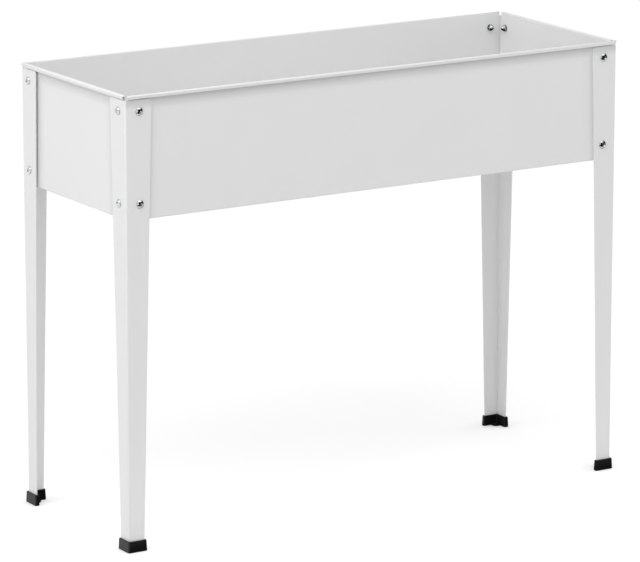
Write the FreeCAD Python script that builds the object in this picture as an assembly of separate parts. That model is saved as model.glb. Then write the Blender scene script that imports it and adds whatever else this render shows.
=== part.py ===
import FreeCAD, Part
import math
import os

# A raised garden bed. Four folded steel wall panels and a floor panel make a trough,
# and four tapered angle legs with moulded foot caps carry it. The long walls have tabs
# folded round the corners, and each end wall sits inside the tabs, a little behind the legs.
# Domed bolts with washers and cap nuts hold each leg to the two walls that meet at its corner.
# The origin is on the ground under the middle of the bed, +X runs along its length,
# +Y from the front to the back and +Z up. All sizes are in millimetres.

# Whole bed
BED_LENGTH = 1014.0  # over the outer faces of the legs
BED_WIDTH = 370.0  # over the outer faces of the legs
BED_HEIGHT = 800.0  # from the ground to the top of the rim
TROUGH_HEIGHT = 216.0  # of the wall panels

# Sheet steel
WALL_SHEET = 1.5
FLOOR_SHEET = 1.0
LEG_SHEET = 2.0
WALL_FOLD_RADIUS = 0.6  # inside the folds of the wall panels
LEG_FOLD_RADIUS = 1.0  # inside the bend of the legs

# Rim, ledge and end tabs of the wall panels
RIM_OVERHANG = 3.5  # of the lip beyond the outer faces of the legs
LIP_DROP = 6.0  # height of the down-turned lip
LIP_LEAN = 1.4  # of the lip's lower edge towards the legs
LEDGE_WIDTH = 18.0  # of the inward fold that carries the floor
LONG_RIM_INSET = 3.5  # of the ends of a long wall's rim from the outer faces of the legs
END_RIM_INSET = 4.0  # of the ends of an end wall's rim from the outer faces of the legs
END_WALL_GAP = 6.5  # between an end wall's end and the inner face of the long wall
LEDGE_END_GAP = 2.0  # between two ledges where they meet in a corner
TAB_WIDTH = 40.0  # of a long wall's end tabs, from the leg's corner
TAB_LAYERS = 2  # the tabs are folded back on themselves
TAB_TOP_GAP = 1.0  # between the top of a tab and the top of the leg over it
TAB_BOTTOM_GAP = 1.0  # between the bottom of a tab and the fold of the ledge

# Legs
LEG_TOP_WIDTH = 51.5  # of each flange
LEG_FOOT_WIDTH = 29.5
LEG_TOP_GAP = 6.2  # between the top of a leg and the underside of the rim
LEG_CORNER_RADIUS = 4.0

# Floor panel
FLOOR_EDGE_GAP = 1.0  # between the floor's edge and the folds of the walls
RIB_COUNT = 5  # stiffening ribs pressed down across the floor
RIB_RADIUS = 10.0
RIB_DEPTH = 3.0
RIB_END_GAP = 14.0  # between a rib's end and the ledges
DRAIN_DIAMETER = 8.0
DRAIN_ROWS = 3

# Bolts, washers and cap nuts
BOLT_DIAMETER = 5.9
BOLT_HEAD_DIAMETER = 14.4
BOLT_HEAD_EDGE = 0.7
BOLT_HEAD_RISE = 3.4  # of the dome above the head's edge
LONG_BOLT_DISTANCE = 27.5  # from the leg's corner to a bolt in a long wall
END_BOLT_DISTANCE = 24.0  # from the leg's corner to a bolt in an end wall
BOLT_EDGE_DISTANCE = 28.0  # from the top and the bottom of the trough
BOLT_HOLE_GAP = 0.35  # all round a bolt in the sheets and the washer
RECESS_SPAN = 8.0
RECESS_TIP_SPAN = 3.2
RECESS_WIDTH = 2.1
RECESS_DEPTH = 2.8
WASHER_DIAMETER = 12.5
WASHER_THICKNESS = 1.2
NUT_ACROSS_FLATS = 10.0
NUT_CHAMFER = 0.7
NUT_DOME_RISE = 4.4
NUT_DOME_INSET = 0.3  # of the dome's edge inside the flats
NUT_CROWN = 2.2  # solid metal over the blind bore
THREAD_GAP = 0.1  # between the bolt and the nut's bore
THREAD_ENGAGEMENT = 6.0
BORE_END_GAP = 0.5

# Foot caps
FOOT_HEIGHT = 20.0
FOOT_SOLE = 4.0  # under the end of the leg
FOOT_OUTER_WALL = 3.1
FOOT_INNER_WALL = 2.2
FOOT_END_WALL = 2.6
FOOT_SLOT_GAP = 0.2  # all round the leg
FOOT_DRAFT = 0.8  # spread of the sides from the top down to the sole
FOOT_CORNER_RADIUS = 3.0
FOOT_ARM_RADIUS = 2.5
FOOT_WEB_RADIUS = 2.0  # in the inner corner between the arms
FOOT_PAD_REACH = 13.0  # of the pad that widens the sole in the inner corner
FOOT_PAD_HEIGHT = 5.0
FOOT_PAD_RADIUS = 7.0
FOOT_SOLE_RADIUS = 1.6
FOOT_RIM_RADIUS = 0.8

# Derived places
Vector = FreeCAD.Vector
UP = Vector(0, 0, 1)
HEX_SIDES = 6
TROUGH_BOTTOM = BED_HEIGHT - TROUGH_HEIGHT
WALL_FOLD = WALL_SHEET + WALL_FOLD_RADIUS
LEG_TOP = BED_HEIGHT - WALL_SHEET - LEG_TOP_GAP
LEG_BEND = LEG_SHEET + LEG_FOLD_RADIUS
BOLT_HEIGHTS = (TROUGH_BOTTOM + BOLT_EDGE_DISTANCE, BED_HEIGHT - BOLT_EDGE_DISTANCE)
HOLE_RADIUS = BOLT_DIAMETER / 2 + BOLT_HOLE_GAP
TAB_THICKNESS = TAB_LAYERS * WALL_SHEET
LONG_RECESS = LEG_SHEET
END_RECESS = LEG_SHEET + TAB_THICKNESS
LONG_SEAT = LONG_RECESS + WALL_SHEET
END_SEAT = END_RECESS + WALL_SHEET
LONG_LEDGE_EDGE = LONG_SEAT + LEDGE_WIDTH

# Each corner's name and its side along X and along Y
CORNERS = (
    ("front_left", -1, -1),
    ("front_right", 1, -1),
    ("back_right", 1, 1),
    ("back_left", -1, 1),
)
# Every bolt and nut stopped at its own angle when it was tightened
BOLT_TURN_STEP = 37.0
NUT_TURN_STEP = 23.0


def outline(stations):
    """Closed wire through stations: a single point, or the start, middle and end of an arc."""
    edges = []
    for index, station in enumerate(stations):
        if len(station) > 1:
            edges.append(Part.Arc(*station).toShape())
        following = stations[(index + 1) % len(stations)]
        edges.append(Part.LineSegment(station[-1], following[0]).toShape())
    return Part.Wire(edges)


def rounded_outline(corners):
    """Closed wire round a polygon of (point, radius); a radius of 0 leaves the corner sharp."""
    stations = []
    for index, (point, radius) in enumerate(corners):
        if radius == 0:
            stations.append((point,))
            continue
        before = (corners[index - 1][0] - point).normalize()
        after = (corners[(index + 1) % len(corners)][0] - point).normalize()
        half_angle = before.getAngle(after) / 2
        reach = radius / math.tan(half_angle)
        inward = (before + after).normalize()
        middle = point + inward * (radius / math.sin(half_angle) - radius)
        stations.append((point + before * reach, middle, point + after * reach))
    return outline(stations)


def folded_face(path, sheet, inside_radius):
    """Section of a sheet folded along path, the sharp corners of its middle surface."""
    across = (path[1] - path[0]).cross(path[2] - path[1]).normalize()
    runs = [(end - start).normalize() for start, end in zip(path, path[1:])]
    middle_radius = inside_radius + sheet / 2
    sides = []
    for offset in (sheet / 2, -sheet / 2):
        normals = [across.cross(run) * offset for run in runs]
        stations = [(path[0] + normals[0],)]
        for index, corner in enumerate(path[1:-1]):
            arriving = runs[index]
            leaving = runs[index + 1]
            half_turn = arriving.getAngle(leaving) / 2
            reach = middle_radius * math.tan(half_turn)
            inward = (leaving - arriving).normalize()
            centre = corner + inward * (middle_radius / math.cos(half_turn))
            start = corner - arriving * reach + normals[index]
            end = corner + leaving * reach + normals[index + 1]
            stations.append((start, centre - inward * (start - centre).Length, end))
        stations.append((path[-1] + normals[-1],))
        sides.append(stations)
    returning = [station[::-1] for station in reversed(sides[1])]
    return Part.Face(outline(sides[0] + returning))


def block(low, high):
    """Box between two opposite corners."""
    size = high - low
    return Part.makeBox(size.x, size.y, size.z, low)


def drill(site, outward, depth):
    """Cutter of a bolt hole that enters a face at site and reaches depth below it."""
    return Part.makeCylinder(HOLE_RADIUS, 2 * depth, site + outward * depth, -outward)


def domed_disc(radius, edge, rise):
    """Disc that stands on the plane Z = 0, with a straight edge and a dome above it."""
    dome_radius = (radius ** 2 + rise ** 2) / (2 * rise)
    half_angle = math.atan(rise / radius)
    centre = edge + rise - dome_radius
    shoulder = Vector(dome_radius * math.sin(half_angle), 0, centre + dome_radius * math.cos(half_angle))
    stations = [
        (Vector(0, 0, 0),),
        (Vector(radius, 0, 0),),
        (Vector(radius, 0, edge), shoulder, Vector(0, 0, edge + rise)),
    ]
    return Part.Face(outline(stations)).revolve(Vector(), UP, 360)


def seat(shape, base, direction, turn):
    """Copy of a shape turned about its own Z, with that Z along direction and its origin at base."""
    copy = shape.copy()
    rotation = FreeCAD.Rotation(UP, direction) * FreeCAD.Rotation(UP, turn)
    copy.Placement = FreeCAD.Placement(base, rotation)
    return copy


def at_corner(shape, side_x, side_y):
    """Copy of a shape, made for the front left leg with its corner on the Z axis, at a corner of the bed."""
    copy = shape.copy()
    if side_x > 0:
        copy = copy.mirror(Vector(), Vector(1, 0, 0))
    if side_y > 0:
        copy = copy.mirror(Vector(), Vector(0, 1, 0))
    return copy.translated(Vector(side_x * BED_LENGTH / 2, side_y * BED_WIDTH / 2, 0))


def bolt_sites():
    """Bolt positions on the front left leg: the place, its outward direction and the washer's depth."""
    sites = []
    for height in BOLT_HEIGHTS:
        sites.append((Vector(LONG_BOLT_DISTANCE, 0, height), Vector(0, -1, 0), LONG_SEAT))
        sites.append((Vector(0, END_BOLT_DISTANCE, height), Vector(-1, 0, 0), END_SEAT))
    return sites


def wall_panel(length, depth, recess, rim_inset, wall_inset, ledge_inset, bolt_distance):
    """Wall panel on the -Y side, between legs that are length by depth over their outer faces.

    The wall stands recess behind those faces, and the ends of its rim, wall and ledge keep rim_inset,
    wall_inset and ledge_inset from them. Its bolts are bolt_distance from the corners of the legs.
    """
    face = -depth / 2
    wall = face + recess + WALL_SHEET / 2
    lip = face - RIM_OVERHANG + WALL_SHEET / 2
    rim = BED_HEIGHT - WALL_SHEET / 2
    ledge = TROUGH_BOTTOM + WALL_SHEET / 2
    ledge_edge = face + recess + WALL_SHEET + LEDGE_WIDTH
    end = length / 2 - rim_inset
    path = [
        Vector(end, lip + LIP_LEAN, BED_HEIGHT - LIP_DROP),
        Vector(end, lip, rim),
        Vector(end, wall, rim),
        Vector(end, wall, ledge),
        Vector(end, ledge_edge, ledge),
    ]
    panel = folded_face(path, WALL_SHEET, WALL_FOLD_RADIUS).extrude(Vector(-2 * end, 0, 0))
    cutters = []
    ledge_top = TROUGH_BOTTOM + WALL_FOLD + WALL_SHEET
    for inset, top in ((wall_inset, BED_HEIGHT + WALL_SHEET), (ledge_inset, ledge_top)):
        cutters.append(block(
            Vector(length / 2 - inset, face + recess - WALL_FOLD, TROUGH_BOTTOM - WALL_SHEET),
            Vector(length / 2, ledge_edge + WALL_SHEET, top),
        ))
    for height in BOLT_HEIGHTS:
        site = Vector(length / 2 - bolt_distance, face, height)
        cutters.append(drill(site, Vector(0, -1, 0), recess + 2 * WALL_SHEET))
    mirrored = [cutter.mirror(Vector(), Vector(1, 0, 0)) for cutter in cutters]
    return panel.cut(cutters + mirrored)


def end_tab():
    """Tab at the +X end of the long wall on the -Y side, folded round the corner and then back on itself."""
    face = -BED_WIDTH / 2
    wall = face + LONG_RECESS + WALL_SHEET / 2
    tab_face = BED_LENGTH / 2 - LEG_SHEET
    tab_end = face + TAB_WIDTH
    bottom = TROUGH_BOTTOM + WALL_FOLD + TAB_BOTTOM_GAP
    top = LEG_TOP - TAB_TOP_GAP
    path = [
        Vector(BED_LENGTH / 2 - END_SEAT, wall, bottom),
        Vector(tab_face - WALL_SHEET / 2, wall, bottom),
        Vector(tab_face - WALL_SHEET / 2, tab_end, bottom),
    ]
    fold = folded_face(path, WALL_SHEET, WALL_FOLD_RADIUS).extrude(UP * (top - bottom))
    layers = block(
        Vector(tab_face - TAB_THICKNESS, face + LONG_RECESS + WALL_FOLD, bottom),
        Vector(tab_face, tab_end, top),
    )
    holes = []
    for height in BOLT_HEIGHTS:
        site = Vector(tab_face, face + END_BOLT_DISTANCE, height)
        holes.append(drill(site, Vector(1, 0, 0), 2 * TAB_THICKNESS))
    return fold.fuse(layers).cut(holes)


def wall_panels():
    """The four wall panels by name; the long ones reach the end walls and have tabs at their ends."""
    long_wall = wall_panel(
        length=BED_LENGTH,
        depth=BED_WIDTH,
        recess=LONG_RECESS,
        rim_inset=LONG_RIM_INSET,
        wall_inset=END_SEAT,
        ledge_inset=END_SEAT,
        bolt_distance=LONG_BOLT_DISTANCE,
    )
    tab = end_tab()
    long_panel = long_wall.fuse([tab, tab.mirror(Vector(), Vector(1, 0, 0))]).removeSplitter()
    end_panel = wall_panel(
        length=BED_WIDTH,
        depth=BED_LENGTH,
        recess=END_RECESS,
        rim_inset=END_RIM_INSET,
        wall_inset=LONG_SEAT + END_WALL_GAP,
        ledge_inset=LONG_LEDGE_EDGE + LEDGE_END_GAP,
        bolt_distance=END_BOLT_DISTANCE,
    )
    return {
        "panel_front": long_panel,
        "panel_right": end_panel.rotated(Vector(), UP, 90),
        "panel_back": long_panel.rotated(Vector(), UP, 180),
        "panel_left": end_panel.rotated(Vector(), UP, 270),
    }


def rib_body(radius, reach, height):
    """Round bar across the bed with ball ends, reach long to each side, with its axis at height."""
    straight = reach - radius
    bar = Part.makeCylinder(radius, 2 * straight, Vector(0, -straight, height), Vector(0, 1, 0))
    balls = [Part.makeSphere(radius, Vector(0, side * straight, height)) for side in (-1, 1)]
    return bar.fuse(balls)


def floor_panel():
    """Floor panel on the ledges, with ribs pressed down across it and drain holes between them."""
    fold_gap = WALL_FOLD_RADIUS + FLOOR_EDGE_GAP
    half_length = BED_LENGTH / 2 - END_SEAT - fold_gap
    half_width = BED_WIDTH / 2 - LONG_SEAT - fold_gap
    bottom = TROUGH_BOTTOM + WALL_SHEET
    top = bottom + FLOOR_SHEET
    floor = block(Vector(-half_length, -half_width, bottom), Vector(half_length, half_width, top))

    rib_reach = BED_WIDTH / 2 - LONG_LEDGE_EDGE - RIB_END_GAP
    rib_axis = bottom - RIB_DEPTH + RIB_RADIUS
    below_top = block(
        Vector(-RIB_RADIUS, -half_width, bottom - 2 * RIB_DEPTH),
        Vector(RIB_RADIUS, half_width, top),
    )
    rib = rib_body(RIB_RADIUS, rib_reach, rib_axis).common(below_top)
    hollow = rib_body(RIB_RADIUS - FLOOR_SHEET, rib_reach - FLOOR_SHEET, rib_axis)
    bay = 2 * half_length / (RIB_COUNT + 1)
    places = [Vector(bay * (index + 1) - half_length, 0, 0) for index in range(RIB_COUNT)]
    floor = floor.fuse([rib.translated(place) for place in places])
    floor = floor.cut([hollow.translated(place) for place in places])

    row_pitch = 2 * rib_reach / (DRAIN_ROWS + 1)
    drains = []
    for column in range(RIB_COUNT + 1):
        for row in range(DRAIN_ROWS):
            x = bay * (column + 1 / 2) - half_length
            y = row_pitch * (row + 1) - rib_reach
            base = Vector(x, y, bottom - FLOOR_SHEET)
            drains.append(Part.makeCylinder(DRAIN_DIAMETER / 2, 3 * FLOOR_SHEET, base))
    return floor.cut(drains).removeSplitter()


def leg():
    """Tapered angle leg with the outer corner of its bend on the Z axis, its flanges along +X and +Y."""
    flange_corners = [
        (Vector(LEG_BEND, 0, FOOT_SOLE), 0),
        (Vector(LEG_FOOT_WIDTH, 0, FOOT_SOLE), LEG_CORNER_RADIUS),
        (Vector(LEG_TOP_WIDTH, 0, LEG_TOP), LEG_CORNER_RADIUS),
        (Vector(LEG_BEND, 0, LEG_TOP), 0),
    ]
    flange_x = Part.Face(rounded_outline(flange_corners)).extrude(Vector(0, LEG_SHEET, 0))
    flange_y = flange_x.mirror(Vector(), Vector(1, -1, 0))
    outer_middle = LEG_BEND * (1 - math.sqrt(1 / 2))
    inner_middle = LEG_BEND - LEG_FOLD_RADIUS * math.sqrt(1 / 2)
    bend_stations = [
        (
            Vector(LEG_BEND, 0, FOOT_SOLE),
            Vector(outer_middle, outer_middle, FOOT_SOLE),
            Vector(0, LEG_BEND, FOOT_SOLE),
        ),
        (
            Vector(LEG_SHEET, LEG_BEND, FOOT_SOLE),
            Vector(inner_middle, inner_middle, FOOT_SOLE),
            Vector(LEG_BEND, LEG_SHEET, FOOT_SOLE),
        ),
    ]
    bend = Part.Face(outline(bend_stations)).extrude(UP * (LEG_TOP - FOOT_SOLE))
    holes = [drill(site, outward, 2 * LEG_SHEET) for site, outward, seat_depth in bolt_sites()]
    return flange_x.fuse([flange_y, bend]).cut(holes).removeSplitter()


def leg_width_at(height):
    """Width of a leg's tapered flanges at a height above the ground."""
    share = (height - FOOT_SOLE) / (LEG_TOP - FOOT_SOLE)
    return LEG_FOOT_WIDTH + share * (LEG_TOP_WIDTH - LEG_FOOT_WIDTH)


def angle_outline(outer, inner, end, height, corner_radius, arm_radius, web_radius):
    """Plan of an angle with faces at outer and inner, and arms that reach to end along +X and +Y."""
    return rounded_outline([
        (Vector(outer, outer, height), corner_radius),
        (Vector(end, outer, height), arm_radius),
        (Vector(end, inner, height), arm_radius),
        (Vector(inner, inner, height), web_radius),
        (Vector(inner, end, height), arm_radius),
        (Vector(outer, end, height), arm_radius),
    ])


def foot():
    """L-shaped foot cap round the lower end of a leg that has its corner on the Z axis."""
    slot_outer = -FOOT_SLOT_GAP
    slot_inner = LEG_SHEET + FOOT_SLOT_GAP
    slot_end = leg_width_at(FOOT_HEIGHT) + FOOT_SLOT_GAP
    plans = []
    for height, spread in ((0, FOOT_DRAFT), (FOOT_HEIGHT, 0)):
        plans.append(angle_outline(
            slot_outer - FOOT_OUTER_WALL - spread,
            slot_inner + FOOT_INNER_WALL + spread,
            slot_end + FOOT_END_WALL + spread,
            height,
            FOOT_CORNER_RADIUS,
            FOOT_ARM_RADIUS,
            FOOT_WEB_RADIUS,
        ))
    cap = Part.makeLoft(plans, True, True)
    inner_face = slot_inner + FOOT_INNER_WALL + FOOT_DRAFT
    pad_plan = rounded_outline([
        (Vector(slot_inner, slot_inner, 0), 0),
        (Vector(inner_face + FOOT_PAD_REACH, slot_inner, 0), 0),
        (Vector(inner_face + FOOT_PAD_REACH, inner_face + FOOT_PAD_REACH, 0), FOOT_PAD_RADIUS),
        (Vector(slot_inner, inner_face + FOOT_PAD_REACH, 0), 0),
    ])
    pad = Part.Face(pad_plan).extrude(UP * FOOT_PAD_HEIGHT)
    cap = cap.fuse(pad).removeSplitter()
    sole_edges = [edge for edge in cap.Edges if edge.BoundBox.ZMax < FOOT_SOLE]
    cap = cap.makeFillet(FOOT_SOLE_RADIUS, sole_edges)
    rim_edges = [edge for edge in cap.Edges if edge.BoundBox.ZMin > FOOT_HEIGHT - FOOT_RIM_RADIUS]
    cap = cap.makeFillet(FOOT_RIM_RADIUS, rim_edges)
    slot_plan = angle_outline(slot_outer, slot_inner, slot_end, FOOT_SOLE, LEG_BEND, 0, LEG_FOLD_RADIUS)
    slot = Part.Face(slot_plan).extrude(UP * FOOT_HEIGHT)
    return cap.cut(slot)


def bolt(seat_depth):
    """Bolt with its domed head on the plane Z = 0 and its shank below, for a washer at seat_depth."""
    head_top = BOLT_HEAD_EDGE + BOLT_HEAD_RISE
    blade_corners = [
        Vector(-RECESS_SPAN / 2, -RECESS_WIDTH / 2, head_top),
        Vector(RECESS_SPAN / 2, -RECESS_WIDTH / 2, head_top),
        Vector(RECESS_TIP_SPAN / 2, -RECESS_WIDTH / 2, head_top - RECESS_DEPTH),
        Vector(-RECESS_TIP_SPAN / 2, -RECESS_WIDTH / 2, head_top - RECESS_DEPTH),
    ]
    blade_face = Part.Face(outline([(corner,) for corner in blade_corners]))
    blade = blade_face.extrude(Vector(0, RECESS_WIDTH, 0))
    head = domed_disc(BOLT_HEAD_DIAMETER / 2, BOLT_HEAD_EDGE, BOLT_HEAD_RISE)
    shank_length = seat_depth + WASHER_THICKNESS + THREAD_ENGAGEMENT
    shank = Part.makeCylinder(BOLT_DIAMETER / 2, shank_length, Vector(), -UP)
    return head.fuse(shank).cut([blade, blade.rotated(Vector(), UP, 90)])


def washer():
    """Flat washer that lies on the plane Z = 0."""
    disc = Part.makeCylinder(WASHER_DIAMETER / 2, WASHER_THICKNESS)
    return disc.cut(Part.makeCylinder(HOLE_RADIUS, WASHER_THICKNESS))


def cap_nut():
    """Cap nut that stands on the plane Z = 0, with a blind bore from below."""
    corner_radius = NUT_ACROSS_FLATS / 2 / math.cos(math.pi / HEX_SIDES)
    hexagon = []
    for index in range(HEX_SIDES):
        angle = 2 * math.pi * index / HEX_SIDES
        hexagon.append((Vector(corner_radius * math.cos(angle), corner_radius * math.sin(angle), 0),))
    bore_depth = THREAD_ENGAGEMENT + BORE_END_GAP
    hex_height = bore_depth + NUT_CROWN - NUT_DOME_RISE
    prism = Part.Face(outline(hexagon)).extrude(UP * hex_height)
    barrel = Part.makeCylinder(corner_radius + NUT_CHAMFER, hex_height)
    top_edge = [edge for edge in barrel.Edges if edge.BoundBox.ZMin > hex_height / 2]
    barrel = barrel.makeChamfer(2 * NUT_CHAMFER, top_edge)
    dome = domed_disc(NUT_ACROSS_FLATS / 2 - NUT_DOME_INSET, hex_height, NUT_DOME_RISE)
    bore = Part.makeCylinder(BOLT_DIAMETER / 2 + THREAD_GAP, bore_depth)
    return prism.common(barrel).fuse(dome).cut(bore).removeSplitter()


def fasteners(corner_index):
    """The bolts, washers and cap nuts of one leg with its corner on the Z axis, by kind."""
    sites = bolt_sites()
    groups = {"bolts": [], "washers": [], "cap_nuts": []}
    for index, (site, outward, seat_depth) in enumerate(sites):
        number = corner_index * len(sites) + index
        washer_base = site - outward * seat_depth
        nut_base = washer_base - outward * WASHER_THICKNESS
        groups["bolts"].append(seat(bolt(seat_depth), site, outward, number * BOLT_TURN_STEP))
        groups["washers"].append(seat(washer(), washer_base, -outward, 0))
        groups["cap_nuts"].append(seat(cap_nut(), nut_base, -outward, number * NUT_TURN_STEP))
    return {kind: Part.makeCompound(pieces) for kind, pieces in groups.items()}


def garden_bed():
    """Every piece of the bed in its place, by node name."""
    nodes = wall_panels()
    nodes["floor_panel"] = floor_panel()
    stand = {"leg": leg(), "foot": foot()}
    for index, (corner, side_x, side_y) in enumerate(CORNERS):
        for kind, shape in {**stand, **fasteners(index)}.items():
            nodes[kind + "_" + corner] = at_corner(shape, side_x, side_y)
    return nodes


os.makedirs("parts", exist_ok=True)
for name, shape in garden_bed().items():
    shape.exportStep(os.path.join("parts", name + ".step"))
    state = "valid" if shape.isValid() else "broken"
    print(name, len(shape.Solids), "solids", round(shape.Volume), "mm3", state)
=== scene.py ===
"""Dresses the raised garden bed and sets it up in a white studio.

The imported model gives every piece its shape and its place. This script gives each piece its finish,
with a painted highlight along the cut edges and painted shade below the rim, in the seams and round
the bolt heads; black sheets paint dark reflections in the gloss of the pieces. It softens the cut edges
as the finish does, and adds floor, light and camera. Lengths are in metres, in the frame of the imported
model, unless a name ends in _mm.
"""

import logging
import math
from dataclasses import dataclass
from enum import Enum
from typing import Any

import bpy
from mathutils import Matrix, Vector

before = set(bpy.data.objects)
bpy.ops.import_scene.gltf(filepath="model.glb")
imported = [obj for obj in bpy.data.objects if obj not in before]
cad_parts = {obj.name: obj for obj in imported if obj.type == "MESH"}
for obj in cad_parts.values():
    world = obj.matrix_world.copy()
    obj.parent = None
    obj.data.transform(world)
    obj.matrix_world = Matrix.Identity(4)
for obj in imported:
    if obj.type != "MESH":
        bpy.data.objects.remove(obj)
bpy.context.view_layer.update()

MM = 0.001
PHOTO_WIDTH_PX = 640
SRGB_TOP = 255
SRGB_KNEE = 0.04045
SRGB_SLOPE = 12.92
SRGB_OFFSET = 0.055
SRGB_POWER = 2.4
WELD_MM = 0.001
SHARP_DEG = 40
log = logging.getLogger("garden_bed")


class Corner(Enum):
    """The corner of the bed that a leg stands at."""

    FRONT_LEFT = "front_left"
    FRONT_RIGHT = "front_right"
    BACK_RIGHT = "back_right"
    BACK_LEFT = "back_left"


class Wall(Enum):
    """The side of the trough that a wall panel closes."""

    FRONT = "front"
    RIGHT = "right"
    BACK = "back"
    LEFT = "left"


class Fastener(Enum):
    """The pieces that clamp a leg to its two wall panels."""

    BOLTS = "bolts"
    WASHERS = "washers"
    CAP_NUTS = "cap_nuts"


def linear(colour: str) -> tuple[float, float, float, float]:
    """Turns an sRGB hex colour into the linear colour that a shader takes.

    Args:
        colour: The colour as "#RRGGBB".

    Returns:
        Red, green and blue in linear light, with an alpha of 1.
    """
    channels = []
    for start in (1, 3, 5):
        share = int(colour[start:start + 2], 16) / SRGB_TOP
        if share <= SRGB_KNEE:
            channels.append(share / SRGB_SLOPE)
        else:
            channels.append(((share + SRGB_OFFSET) / (1 + SRGB_OFFSET)) ** SRGB_POWER)
    return channels[0], channels[1], channels[2], 1.0


def per_metre(pattern_mm: float) -> float:
    """Gives the texture scale that repeats a pattern every pattern_mm."""
    return 1 / (pattern_mm * MM)


def add_node(
    tree: bpy.types.NodeTree, kind: str, inputs: dict[Any, Any] | None = None, **settings: Any
) -> bpy.types.Node:
    """Adds a node to a tree with its settings and links.

    Args:
        tree: The tree that gets the node.
        kind: The node's type, without the words ShaderNode.
        inputs: For an input's name or number, a plain value or the output that is linked to it.
        settings: The node's own properties.

    Returns:
        The new node.
    """
    node = tree.nodes.new("ShaderNode" + kind)
    for name, value in settings.items():
        setattr(node, name, value)
    for key, value in (inputs or {}).items():
        if isinstance(value, bpy.types.NodeSocket):
            tree.links.new(value, node.inputs[key])
        else:
            node.inputs[key].default_value = value
    return node


def empty_material(name: str) -> bpy.types.Material:
    """Makes a material with nothing in its node tree.

    Args:
        name: The material's name.

    Returns:
        The new material.
    """
    material = bpy.data.materials.new(name)
    material.use_nodes = True
    material.node_tree.nodes.clear()
    return material


def flat_sheet(name: str, width: float, height: float) -> bpy.types.Object:
    """Makes a flat rectangle round the origin, facing up.

    Args:
        name: The sheet's name.
        width: Its size along X.
        height: Its size along Y.

    Returns:
        The sheet, in the scene.
    """
    x, y = width / 2, height / 2
    mesh = bpy.data.meshes.new(name)
    mesh.from_pydata([(-x, -y, 0.0), (x, -y, 0.0), (x, y, 0.0), (-x, y, 0.0)], [], [(0, 1, 2, 3)])
    sheet = bpy.data.objects.new(name, mesh)
    bpy.context.scene.collection.objects.link(sheet)
    return sheet


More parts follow.
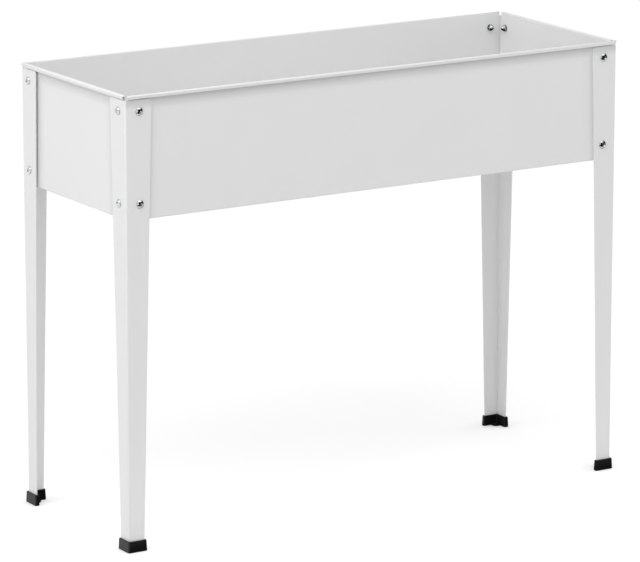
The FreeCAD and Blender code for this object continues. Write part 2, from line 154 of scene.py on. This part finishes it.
@dataclass(frozen=True)
class PowderCoat:
    """White polyester powder, sprayed on sheet steel and baked to a satin film.

    With the seam flag set, painted shade also greys the coat where a piece meets its neighbours and they
    shut out light.
    """

    name: str = "polyester_powder_coat_sprayed_and_baked"
    colour: str = "#F0F0F0"
    thin_colour: str = "#EDEDED"
    # White of the painted highlight along the cut edges.
    edge_highlight_colour: str = "#F7F7F7"
    # Grey of the painted shade below the rim and in the seams.
    painted_shade_colour: str = "#DADADA"
    roughness: float = 0.38
    roughness_spread: float = 0.05
    ior: float = 1.5
    film_mm: float = 90.0
    film_detail: float = 3.0
    peel_mm: float = 4.0
    peel_depth_mm: float = 0.012
    peel_detail: float = 2.0
    edge_mm: float = 0.5
    edge_cosine: float = 0.8
    edge_samples: int = 4
    painted_seam_shade: bool = True
    seam_mm: float = 25.0
    seam_samples: int = 24
    seam_shelter: float = 0.96
    seam_strength: float = 0.75
    # Heights of the painted shadow below the lips of the long rims.
    rim_shadow_low: float = 0.775
    rim_shadow_full: float = 0.786
    rim_shadow_top: float = 0.7935

    def painted_shade(
        self, tree: bpy.types.NodeTree, place: bpy.types.NodeSocket, normal: bpy.types.NodeSocket
    ) -> bpy.types.NodeSocket:
        """Tells how much painted shade greys the outside of a piece.

        Args:
            tree: The coat's node tree.
            place: The place on the bed.
            normal: The direction that the surface faces.

        Returns:
            An output of 0 where the coat is unshaded, up to 1 where the painted shade greys it.
        """
        # A grey band is painted below the lips of the long rims, on the walls and legs: painted shadow
        # of the rims, strongest just under the lips and only on faces turned to the long sides.
        height = add_node(tree, "SeparateXYZ", {"Vector": place})
        rim_shadow_rise = add_node(
            tree,
            "MapRange",
            {"Value": height.outputs["Z"], "From Min": self.rim_shadow_low, "From Max": self.rim_shadow_full},
        )
        under_lip = add_node(
            tree, "Math", {0: height.outputs["Z"], 1: self.rim_shadow_top}, operation="LESS_THAN"
        )
        rim_shadow = add_node(
            tree,
            "Math",
            {0: rim_shadow_rise.outputs["Result"], 1: under_lip.outputs["Value"]},
            operation="MULTIPLY",
        )
        side = add_node(tree, "SeparateXYZ", {"Vector": normal})
        long_side = add_node(tree, "Math", {0: side.outputs["Y"]}, operation="ABSOLUTE")
        shade_mask = add_node(
            tree,
            "Math",
            {0: rim_shadow.outputs["Value"], 1: long_side.outputs["Value"]},
            operation="MULTIPLY",
        )
        if self.painted_seam_shade:
            # Painted shade greys the seams beside the legs and under the rim, where neighbouring pieces
            # shut out light.
            shelter = add_node(
                tree, "AmbientOcclusion", {"Distance": self.seam_mm * MM}, samples=self.seam_samples
            )
            seam = add_node(
                tree,
                "MapRange",
                {
                    "Value": shelter.outputs["AO"],
                    "From Min": 1.0,
                    "From Max": self.seam_shelter,
                    "To Max": self.seam_strength,
                },
            )
            shade_mask = add_node(
                tree, "Math", {0: seam.outputs["Result"], 1: shade_mask.outputs["Value"]}, operation="MAXIMUM"
            )
        # Only faces turned away from the middle of the bed get the painted shade; the inside of the
        # trough gets none.
        facing = add_node(tree, "VectorMath", {0: normal, 1: place}, operation="DOT_PRODUCT")
        outside = add_node(tree, "Math", {0: facing.outputs["Value"], 1: 0.0}, operation="GREATER_THAN")
        painted_shade = add_node(
            tree,
            "Math",
            {0: shade_mask.outputs["Value"], 1: outside.outputs["Value"]},
            operation="MULTIPLY",
        )
        return painted_shade.outputs["Value"]

    def material(self) -> bpy.types.Material:
        """Makes the coat: an even satin white, with a painted highlight along the edges and painted
        shade below the rim.

        Returns:
            The finished material.
        """
        material = empty_material(self.name)
        tree = material.node_tree
        place = add_node(tree, "TexCoord").outputs["Object"]

        # The sprayed film is never equally thick, so its white drifts by a shade over a hand's width.
        film = add_node(
            tree,
            "TexNoise",
            {"Vector": place, "Scale": per_metre(self.film_mm), "Detail": self.film_detail},
        )
        film_colour = add_node(
            tree,
            "Mix",
            {"Factor": film.outputs["Fac"], "A": linear(self.thin_colour), "B": linear(self.colour)},
            data_type="RGBA",
        )

        normal = add_node(tree, "NewGeometry").outputs["Normal"]
        # Painted shade greys the film below the rim and in the seams.
        shaded_colour = add_node(
            tree,
            "Mix",
            {
                "Factor": self.painted_shade(tree, place, normal),
                "A": film_colour.outputs["Result"],
                "B": linear(self.painted_shade_colour),
            },
            data_type="RGBA",
        )

        # A slightly whiter line is painted along the cut edges: a painted highlight where the rounded
        # edges catch light.
        rounded = add_node(tree, "Bevel", {"Radius": self.edge_mm * MM}, samples=self.edge_samples)
        alike = add_node(
            tree, "VectorMath", {0: rounded.outputs["Normal"], 1: normal}, operation="DOT_PRODUCT"
        )
        edge = add_node(
            tree,
            "MapRange",
            {"Value": alike.outputs["Value"], "From Min": 1.0, "From Max": self.edge_cosine},
        )
        colour = add_node(
            tree,
            "Mix",
            {
                "Factor": edge.outputs["Result"],
                "A": shaded_colour.outputs["Result"],
                "B": linear(self.edge_highlight_colour),
            },
            data_type="RGBA",
        )

        # The melted powder sets with a faint orange peel of about 2 mm, drawn coarser here to show.
        peel = add_node(
            tree,
            "TexNoise",
            {"Vector": place, "Scale": per_metre(self.peel_mm), "Detail": self.peel_detail},
        )
        relief = add_node(
            tree,
            "Bump",
            {"Height": peel.outputs["Fac"], "Strength": 1.0, "Distance": self.peel_depth_mm * MM},
        )
        gloss = add_node(
            tree,
            "MapRange",
            {
                "Value": film.outputs["Fac"],
                "To Min": self.roughness + self.roughness_spread,
                "To Max": self.roughness - self.roughness_spread,
            },
        )
        coat = add_node(
            tree,
            "BsdfPrincipled",
            {
                "Base Color": colour.outputs["Result"],
                "Roughness": gloss.outputs["Result"],
                "IOR": self.ior,
                "Normal": relief.outputs["Normal"],
            },
        )
        add_node(tree, "OutputMaterial", {"Surface": coat.outputs["BSDF"]})
        return material


@dataclass(frozen=True)
class BrightPlating:
    """Bright nickel-chrome plating on cold-headed steel."""

    name: str = "bright_nickel_chrome_plated_steel"
    colour: str = "#DADCDE"
    shade_colour: str = "#C2C5C9"
    # Dark of the painted shade round the foot of the dome.
    ring_shade_colour: str = "#161618"
    roughness: float = 0.07
    roughness_spread: float = 0.05
    tumble_mm: float = 1.2
    tumble_depth_mm: float = 0.003
    tumble_detail: float = 4.0
    band_mm: float = 4.0
    band_samples: int = 8
    open_shelter: float = 0.98
    band_shelter: float = 0.9
    recess_shelter: float = 0.65

    def material(self) -> bpy.types.Material:
        """Makes the plating: a mirror with the faint dents and haze of tumbling in a barrel, and painted
        shade round the foot of the dome.

        Returns:
            The finished material.
        """
        material = empty_material(self.name)
        tree = material.node_tree
        place = add_node(tree, "TexCoord").outputs["Object"]
        # Tumbled fasteners knock against each other, which leaves dents of a few tenths of a millimetre.
        # They are drawn coarser here, so that a head a few pixels wide still shows them.
        dents = add_node(
            tree,
            "TexNoise",
            {"Vector": place, "Scale": per_metre(self.tumble_mm), "Detail": self.tumble_detail},
        )
        colour = add_node(
            tree,
            "Mix",
            {"Factor": dents.outputs["Fac"], "A": linear(self.shade_colour), "B": linear(self.colour)},
            data_type="RGBA",
        )
        # A dark band is painted round the foot of the dome, where the leg shelters it: painted shade.
        # The cross recess, more sheltered still, is left out of the band.
        shelter = add_node(
            tree, "AmbientOcclusion", {"Distance": self.band_mm * MM}, samples=self.band_samples
        )
        low = add_node(
            tree,
            "MapRange",
            {
                "Value": shelter.outputs["AO"],
                "From Min": self.open_shelter,
                "From Max": self.band_shelter,
            },
        )
        outside_recess = add_node(
            tree,
            "MapRange",
            {
                "Value": shelter.outputs["AO"],
                "From Min": self.recess_shelter,
                "From Max": self.band_shelter,
            },
        )
        shade_ring = add_node(
            tree,
            "Math",
            {0: low.outputs["Result"], 1: outside_recess.outputs["Result"]},
            operation="MULTIPLY",
        )
        plated_colour = add_node(
            tree,
            "Mix",
            {
                "Factor": shade_ring.outputs["Value"],
                "A": colour.outputs["Result"],
                "B": linear(self.ring_shade_colour),
            },
            data_type="RGBA",
        )
        haze = add_node(
            tree,
            "MapRange",
            {
                "Value": dents.outputs["Fac"],
                "To Min": self.roughness + self.roughness_spread,
                "To Max": self.roughness - self.roughness_spread,
            },
        )
        relief = add_node(
            tree,
            "Bump",
            {"Height": dents.outputs["Fac"], "Strength": 1.0, "Distance": self.tumble_depth_mm * MM},
        )
        plating = add_node(
            tree,
            "BsdfPrincipled",
            {
                "Base Color": plated_colour.outputs["Result"],
                "Metallic": 1.0,
                "Roughness": haze.outputs["Result"],
                "Normal": relief.outputs["Normal"],
            },
        )
        add_node(tree, "OutputMaterial", {"Surface": plating.outputs["BSDF"]})
        return material


@dataclass(frozen=True)
class MouldedRubber:
    """Black EPDM rubber, moulded in a spark-eroded tool."""

    name: str = "black_rubber_moulded"
    colour: str = "#0A0A0B"
    bloom_colour: str = "#151516"
    roughness: float = 0.45
    roughness_spread: float = 0.06
    ior: float = 1.5
    specular_level: float = 0.4
    grain_mm: float = 0.9
    grain_depth_mm: float = 0.03
    grain_detail: float = 2.0
    bloom_mm: float = 14.0
    bloom_detail: float = 3.0

    def material(self) -> bpy.types.Material:
        """Makes the rubber: deep black with a fine moulded grain and a breath of grey bloom.

        Returns:
            The finished material.
        """
        material = empty_material(self.name)
        tree = material.node_tree
        place = add_node(tree, "TexCoord").outputs["Object"]
        # Wax comes to the surface of stored rubber and greys it in soft patches.
        bloom = add_node(
            tree,
            "TexNoise",
            {"Vector": place, "Scale": per_metre(self.bloom_mm), "Detail": self.bloom_detail},
        )
        colour = add_node(
            tree,
            "Mix",
            {"Factor": bloom.outputs["Fac"], "A": linear(self.colour), "B": linear(self.bloom_colour)},
            data_type="RGBA",
        )
        # The tool's eroded grain is about 0.2 mm, drawn coarser here to show.
        grain = add_node(
            tree,
            "TexNoise",
            {"Vector": place, "Scale": per_metre(self.grain_mm), "Detail": self.grain_detail},
        )
        relief = add_node(
            tree,
            "Bump",
            {"Height": grain.outputs["Fac"], "Strength": 1.0, "Distance": self.grain_depth_mm * MM},
        )
        sheen = add_node(
            tree,
            "MapRange",
            {
                "Value": bloom.outputs["Fac"],
                "To Min": self.roughness - self.roughness_spread,
                "To Max": self.roughness + self.roughness_spread,
            },
        )
        rubber = add_node(
            tree,
            "BsdfPrincipled",
            {
                "Base Color": colour.outputs["Result"],
                "Roughness": sheen.outputs["Result"],
                "IOR": self.ior,
                "Specular IOR Level": self.specular_level,
                "Normal": relief.outputs["Normal"],
            },
        )
        add_node(tree, "OutputMaterial", {"Surface": rubber.outputs["BSDF"]})
        return material


def dress(node: str, material: bpy.types.Material) -> bpy.types.Object:
    """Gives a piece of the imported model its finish.

    Args:
        node: The piece's name.
        material: The finish.

    Returns:
        The piece.
    """
    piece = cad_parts[node]
    for slot in piece.material_slots:
        slot.material = material
    log.info("dressed %s in %s", node, material.name)
    return piece


def soften(piece: bpy.types.Object, width_mm: float, segments: int) -> None:
    """Rounds a piece's sharp edges.

    Args:
        piece: The piece.
        width_mm: How far the rounding reaches on each side of an edge.
        segments: The facets across each rounded edge.
    """
    weld = piece.modifiers.new("join_facets", "WELD")
    weld.merge_threshold = WELD_MM * MM
    bevel = piece.modifiers.new("rounded_edges", "BEVEL")
    bevel.width = width_mm * MM
    bevel.segments = segments
    bevel.limit_method = "ANGLE"
    bevel.angle_limit = math.radians(SHARP_DEG)
    bevel.loop_slide = False
    bevel.use_clamp_overlap = False
    bevel.harden_normals = True


@dataclass
class Trough:
    """The four folded wall panels and the floor panel that lies on their ledges."""

    edge_mm: float = 0.2
    edge_segments: int = 2

    def dress(self, coat: bpy.types.Material) -> None:
        """Coats the panels and rounds their cut edges.

        Args:
            coat: The powder coat.
        """
        for node in [f"panel_{wall.value}" for wall in Wall] + ["floor_panel"]:
            piece = dress(node, coat)
            soften(piece, self.edge_mm, self.edge_segments)


@dataclass
class Leg:
    """A tapered angle leg with its foot cap and its fasteners."""

    corner: Corner
    edge_mm: float = 0.3
    edge_segments: int = 2

    def dress(
        self, coat: bpy.types.Material, rubber: bpy.types.Material, plating: bpy.types.Material
    ) -> None:
        """Coats the leg, and finishes the cap and the fasteners.

        Args:
            coat: The powder coat of the leg.
            rubber: The foot cap's rubber.
            plating: The fasteners' plating.
        """
        leg = dress(f"leg_{self.corner.value}", coat)
        soften(leg, self.edge_mm, self.edge_segments)
        dress(f"foot_{self.corner.value}", rubber)
        for fastener in Fastener:
            dress(f"{fastener.value}_{self.corner.value}", plating)


@dataclass(frozen=True)
class Softbox:
    """A large diffused lamp."""

    name: str
    place: tuple[float, float, float]
    aim: tuple[float, float, float]
    width: float
    height: float
    watts: float

    def build(self) -> bpy.types.Object:
        """Hangs the lamp and turns it to its aim.

        Returns:
            The lamp.
        """
        light = bpy.data.lights.new(self.name, "AREA")
        light.shape = "RECTANGLE"
        light.size = self.width
        light.size_y = self.height
        light.energy = self.watts
        lamp = bpy.data.objects.new(self.name, light)
        lamp.location = self.place
        lamp.rotation_euler = (Vector(self.aim) - Vector(self.place)).to_track_quat("-Z", "Y").to_euler()
        bpy.context.scene.collection.objects.link(lamp)
        return lamp


@dataclass(frozen=True)
class DarkCard:
    """A black sheet that only the gloss of the pieces in front of it mirrors: it paints a dark
    reflection.
    """

    name: str
    place: tuple[float, float, float]
    aim: tuple[float, float, float]
    width: float
    height: float
    colour: str = "#101010"

    def build(self) -> bpy.types.Object:
        """Stands the card up, facing its aim.

        Returns:
            The card.
        """
        card = flat_sheet(self.name, self.width, self.height)
        card.location = self.place
        card.rotation_euler = (Vector(self.aim) - Vector(self.place)).to_track_quat("Z", "Y").to_euler()
        # Seen by glossy rays alone, the card shows, lights and shades nothing: it only paints a dark
        # reflection.
        card.visible_camera = False
        card.visible_diffuse = False
        card.visible_transmission = False
        card.visible_shadow = False
        material = empty_material("black_card_painting_reflections")
        tree = material.node_tree
        felt = add_node(tree, "BsdfDiffuse", {"Color": linear(self.colour)})
        open_back = add_node(tree, "BsdfTransparent")
        geometry = add_node(tree, "NewGeometry")
        surface = add_node(
            tree,
            "MixShader",
            {
                "Fac": geometry.outputs["Backfacing"],
                1: felt.outputs["BSDF"],
                2: open_back.outputs["BSDF"],
            },
        )
        add_node(tree, "OutputMaterial", {"Surface": surface.outputs["Shader"]})
        card.data.materials.append(material)
        return card


@dataclass
class Studio:
    """A white room with a plain floor, soft lamps, and black sheets that paint dark reflections in the
    gloss of the pieces.
    """

    floor_width: float = 60.0
    floor_colour: str = "#F2F2F2"
    near_floor: float = 1.0
    near_glow: float = 0.29
    far_floor: float = 4.5
    far_glow: float = 0.46
    room_colour: str = "#FFFFFF"
    room_strength: float = 0.632
    softboxes: tuple[Softbox, ...] = (
        Softbox(
            "left_softbox",
            place=(-2.2, -0.3, 2.3),
            aim=(0.0, 0.0, 0.55),
            width=2.0,
            height=1.6,
            watts=19.7,
        ),
        Softbox(
            "key_softbox",
            place=(-0.3, -1.3, 2.9),
            aim=(0.0, 0.0, 0.55),
            width=2.6,
            height=1.4,
            watts=16.7,
        ),
        Softbox(
            "right_softbox",
            place=(2.8, -0.3, 0.9),
            aim=(0.0, 0.0, 0.55),
            width=2.4,
            height=1.6,
            watts=17.0,
        ),
    )
    # Painted dark reflections: black sheets before and right of the bed, on the floor in front of and
    # under it, and inside the trough, where the white trough floor and walls would be mirrored.
    cards: tuple[DarkCard, ...] = (
        DarkCard(
            "front_card",
            place=(0.5, -2.6, 1.5),
            aim=(0.5, 0.0, 1.5),
            width=4.2,
            height=3.0,
        ),
        DarkCard(
            "right_card",
            place=(2.6, -0.6, 1.5),
            aim=(0.0, -0.6, 1.5),
            width=4.0,
            height=3.0,
        ),
        DarkCard(
            "floor_card",
            place=(0.5, -1.625, 0.004),
            aim=(0.5, -1.625, 1.0),
            width=4.2,
            height=1.95,
        ),
        DarkCard(
            "foot_card",
            place=(0.345, -0.035, 0.0015),
            aim=(0.345, -0.035, 1.0),
            width=1.71,
            height=0.47,
        ),
        DarkCard(
            "trough_card",
            place=(0.0, 0.0, 0.592),
            aim=(0.0, 0.0, 2.0),
            width=0.99,
            height=0.35,
        ),
        DarkCard(
            "trough_end_card",
            place=(0.499, 0.0, 0.678),
            aim=(-1.0, 0.0, 0.678),
            width=0.35,
            height=0.176,
        ),
        DarkCard(
            "trough_back_card",
            place=(0.25, 0.18, 0.678),
            aim=(0.25, -1.0, 0.678),
            width=0.49,
            height=0.176,
        ),
    )

    def build(self) -> None:
        """Builds the room: light from all round, the floor, the lamps and the cards."""
        self.light_room()
        self.lay_floor()
        for equipment in self.softboxes + self.cards:
            equipment.build()
            log.info("set up %s", equipment.name)

    def seen_directly(self, tree: bpy.types.NodeTree) -> bpy.types.NodeSocket:
        """Tells what is seen, mirrored or seen through glass from what only gives light.

        Args:
            tree: The node tree that asks.

        Returns:
            An output of 1 for camera, glossy and transmission rays, and 0 for others.
        """
        path = add_node(tree, "LightPath")
        mirrored = add_node(
            tree,
            "Math",
            {0: path.outputs["Is Camera Ray"], 1: path.outputs["Is Glossy Ray"]},
            operation="MAXIMUM",
        )
        seen = add_node(
            tree,
            "Math",
            {0: mirrored.outputs["Value"], 1: path.outputs["Is Transmission Ray"]},
            operation="MAXIMUM",
        )
        return seen.outputs["Value"]

    def light_room(self) -> None:
        """Makes the walls white to the eye, and lets them give the room's soft light."""
        world = bpy.data.worlds.new("white_room")
        world.use_nodes = True
        tree = world.node_tree
        tree.nodes.clear()
        strength = add_node(
            tree,
            "MapRange",
            {"Value": self.seen_directly(tree), "To Min": self.room_strength, "To Max": 1.0},
        )
        walls = add_node(
            tree,
            "Background",
            {"Color": linear(self.room_colour), "Strength": strength.outputs["Result"]},
        )
        add_node(tree, "OutputWorld", {"Surface": walls.outputs["Background"]})
        bpy.context.scene.world = world

    def lay_floor(self) -> None:
        """Lays the floor, white to the eye but for the bed's own shadow."""
        floor = flat_sheet("studio_floor", self.floor_width, self.floor_width)
        material = empty_material("matt_white_studio_floor")
        tree = material.node_tree
        paint = add_node(tree, "BsdfDiffuse", {"Color": linear(self.floor_colour)})
        # Little lamplight reaches the far floor, so it is helped to white more than the near floor.
        place = add_node(tree, "TexCoord").outputs["Object"]
        distance = add_node(tree, "VectorMath", {0: place}, operation="LENGTH")
        help_white = add_node(
            tree,
            "MapRange",
            {
                "Value": distance.outputs["Value"],
                "From Min": self.near_floor,
                "From Max": self.far_floor,
                "To Min": self.near_glow,
                "To Max": self.far_glow,
            },
        )
        strength = add_node(
            tree,
            "Math",
            {0: self.seen_directly(tree), 1: help_white.outputs["Result"]},
            operation="MULTIPLY",
        )
        glow = add_node(tree, "Emission", {"Strength": strength.outputs["Value"]})
        surface = add_node(tree, "AddShader", {0: paint.outputs["BSDF"], 1: glow.outputs["Emission"]})
        add_node(tree, "OutputMaterial", {"Surface": surface.outputs["Shader"]})
        floor.data.materials.append(material)


@dataclass
class PhotoCamera:
    """The camera of the product picture: a long lens, to the left of the bed and above its rim."""

    azimuth_deg: float = -31.766
    elevation_deg: float = 13.362
    distance: float = 7.661
    aim: tuple[float, float, float] = (-0.0086, -0.0030, 0.3827)
    focal_length_px: float = 4263.0
    sensor_mm: float = 36.0
    view_depth: float = 100.0

    def build(self) -> bpy.types.Object:
        """Sets the camera up and makes it the scene's own.

        Returns:
            The camera.
        """
        lens = bpy.data.cameras.new("photo_camera")
        lens.sensor_fit = "HORIZONTAL"
        lens.sensor_width = self.sensor_mm
        lens.lens = self.focal_length_px * self.sensor_mm / PHOTO_WIDTH_PX
        lens.clip_end = self.view_depth
        camera = bpy.data.objects.new("photo_camera", lens)
        azimuth = math.radians(self.azimuth_deg)
        elevation = math.radians(self.elevation_deg)
        back = Vector((
            math.sin(azimuth) * math.cos(elevation),
            -math.cos(azimuth) * math.cos(elevation),
            math.sin(elevation),
        ))
        camera.location = Vector(self.aim) + back * self.distance
        camera.rotation_euler = (-back).to_track_quat("-Z", "Y").to_euler()
        bpy.context.scene.collection.objects.link(camera)
        bpy.context.scene.camera = camera
        return camera


def main() -> None:
    """Dresses the bed, builds the studio round it and sets the camera."""
    logging.basicConfig(level=logging.INFO, format="%(name)s: %(message)s")
    coat = PowderCoat().material()
    # The legs' coat has no painted seam shade, but keeps the painted edge highlight and the painted
    # shadow below the rim.
    leg_coat = PowderCoat(name="polyester_powder_coat_of_legs_sprayed_and_baked", painted_seam_shade=False).material()
    rubber = MouldedRubber().material()
    plating = BrightPlating().material()
    Trough().dress(coat)
    for corner in Corner:
        Leg(corner).dress(leg_coat, rubber, plating)
    Studio().build()
    PhotoCamera().build()
    bpy.context.scene.view_settings.view_transform = "Standard"


if __name__ == "__main__":
    main()
